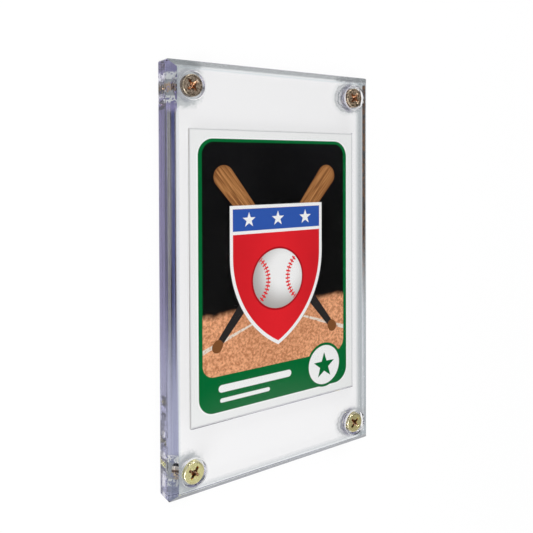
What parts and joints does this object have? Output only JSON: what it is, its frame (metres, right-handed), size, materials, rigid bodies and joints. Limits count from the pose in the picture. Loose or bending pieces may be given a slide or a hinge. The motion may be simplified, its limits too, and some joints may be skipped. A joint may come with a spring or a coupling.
{
  "type": "screwdown card holder",
  "caption": "Clear display holder for a trading card: bevelled plates clamped over it by a cross-head screw at each corner.",
  "frame": {"origin": "middle of the back face, on the surface that the holder lies on", "axes": "+X to the right as seen from the front, +Y up the holder's height, +Z out of its front face"},
  "size_m": [0.0778, 0.1286, 0.0077],
  "materials": {
    "clear_plastic": "polished",
    "printed_card": "satin",
    "brass": "satin"
  },
  "bodies": {
    "root": {"back_plate": "clear_plastic", "front_plate": "clear_plastic", "trading_card": "printed_card", "screw_top_left": "brass", "screw_top_right": "brass", "screw_bottom_left": "brass", "screw_bottom_right": "brass"}
  },
  "joints": []
}
